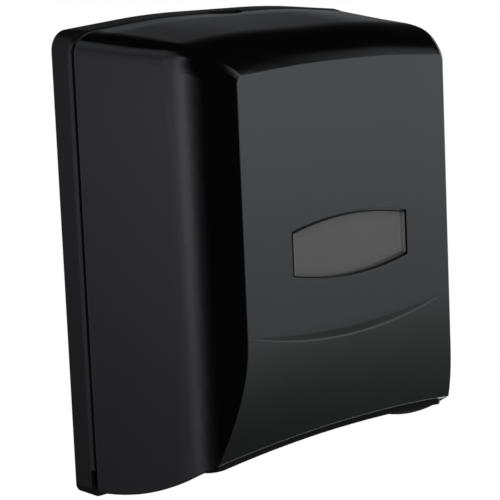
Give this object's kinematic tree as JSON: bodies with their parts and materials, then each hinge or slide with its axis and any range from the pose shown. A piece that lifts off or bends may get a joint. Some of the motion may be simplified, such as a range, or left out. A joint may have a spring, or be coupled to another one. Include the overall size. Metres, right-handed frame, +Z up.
{
  "type": "folded towel dispenser",
  "caption": "Wall-mounted folded towel dispenser with a drafted glossy cover that tips forward on bottom pins, a small window, a slotted tray and a sliding latch.",
  "frame": {"origin": "centre of the pattern of wall fixing holes, on the wall plane", "axes": "+Z up, -Y out of the wall towards the user, +X to the right as the user faces the dispenser"},
  "size_m": [0.268, 0.1152, 0.2921],
  "materials": {
    "gloss_black": "high gloss black ABS",
    "satin_black": "gloss black ABS",
    "smoked_window": "smoked grey plastic",
    "inner_black": "matt black",
    "throat_grey": "smooth dark grey",
    "latch_black": "satin black",
    "screw_steel": "zinc plated",
    "pin_steel": "bright",
    "catch_steel": "zinc plated sheet"
  },
  "bodies": {
    "back": {"back_plate": "satin_black", "bottom_tray": "satin_black", "dispensing_throat": "throat_grey", "tray_screws": "screw_steel", "left_towel_guide": "inner_black", "right_towel_guide": "inner_black", "guide_screws": "screw_steel", "left_hinge_pin": "pin_steel", "right_hinge_pin": "pin_steel", "latch_housing": "inner_black", "latch_screws": "screw_steel"},
    "cover": {"front_cover": "gloss_black", "viewing_window": "smoked_window", "window_retainer": "inner_black", "window_screws": "screw_steel", "cover_catch": "catch_steel", "catch_screws": "screw_steel"},
    "latch": {"latch_slider": "latch_black"}
  },
  "joints": [
    {"name": "cover_hinge", "type": "hinge", "parent": "back", "child": "cover", "pos_m": [0, -0.022, -0.1375], "axis": [1, 0, 0], "range_deg": [0, 90]},
    {"name": "latch_slide", "type": "slide", "parent": "back", "child": "latch", "axis": [1, 0, 0], "range_m": [0, 0.008]}
  ]
}
